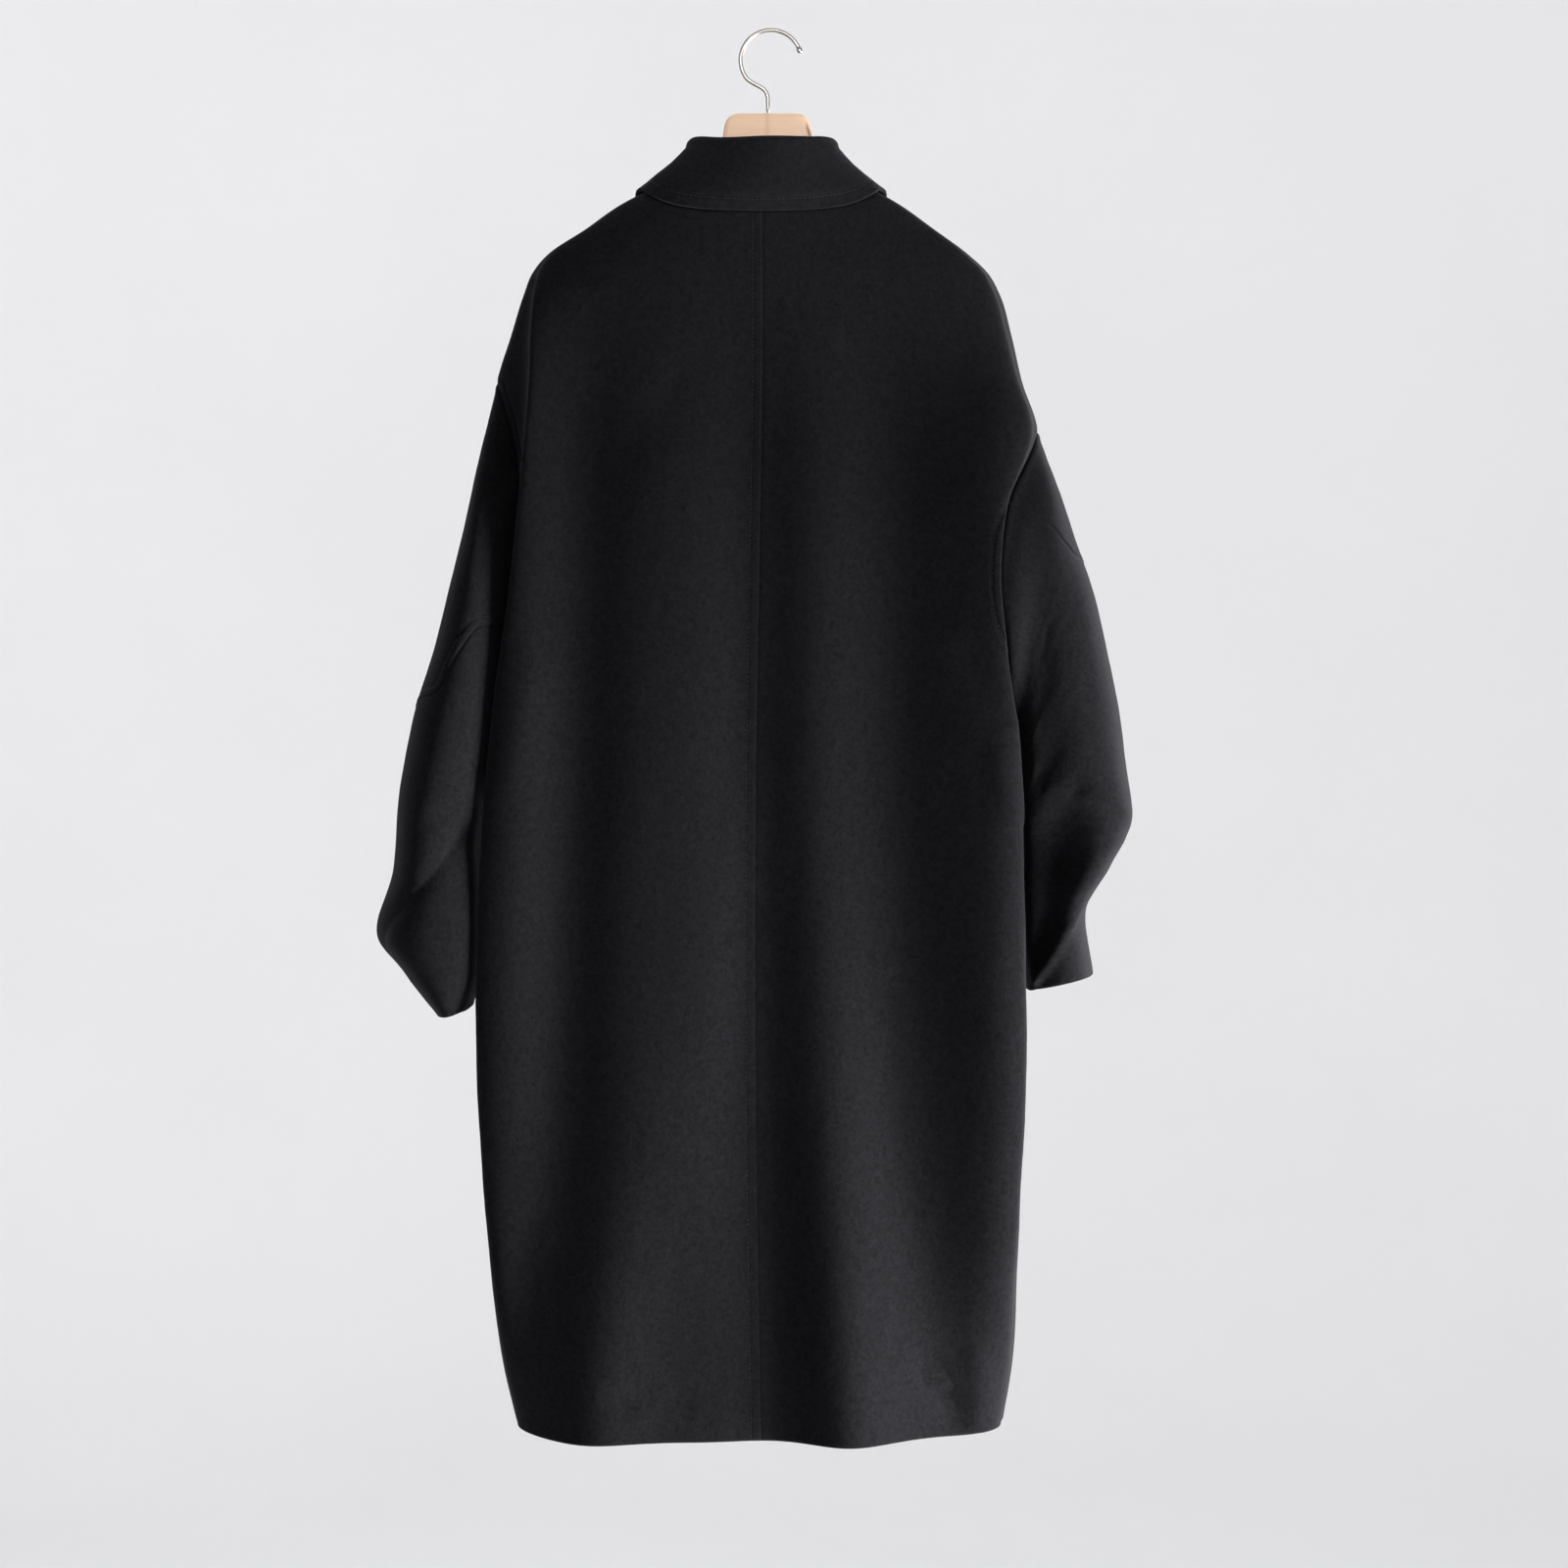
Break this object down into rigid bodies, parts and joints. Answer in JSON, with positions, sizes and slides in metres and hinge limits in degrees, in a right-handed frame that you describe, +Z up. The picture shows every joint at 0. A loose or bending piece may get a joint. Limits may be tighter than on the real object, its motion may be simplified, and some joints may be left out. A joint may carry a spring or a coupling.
{
  "type": "oversized coat on a hanger",
  "caption": "Knee-length oversized wool coat with dropped shoulders, full sleeves and a fall collar, hanging hollow from a flat wooden hanger with a round hook.",
  "frame": {"origin": "inside of the top of the hanger's hook, where a rail holds it", "axes": "+Z up along the hanging coat, +Y towards the coat's front, +X towards the wearer's right"},
  "size_m": [0.6925, 0.2298, 1.2838],
  "materials": {
    "black_wool": "matte brushed melton",
    "black_horn": "satin",
    "pale_wood": "satin lacquer",
    "satin_steel": "satin"
  },
  "bodies": {
    "root": {"back_left": "black_wool", "back_right": "black_wool", "front_left": "black_wool", "front_right": "black_wool", "sleeve_left": "black_wool", "sleeve_right": "black_wool", "collar": "black_wool", "button_1": "black_horn", "button_2": "black_horn", "button_3": "black_horn", "button_4": "black_horn", "hanger_body": "pale_wood", "hanger_hook": "satin_steel"}
  },
  "joints": []
}
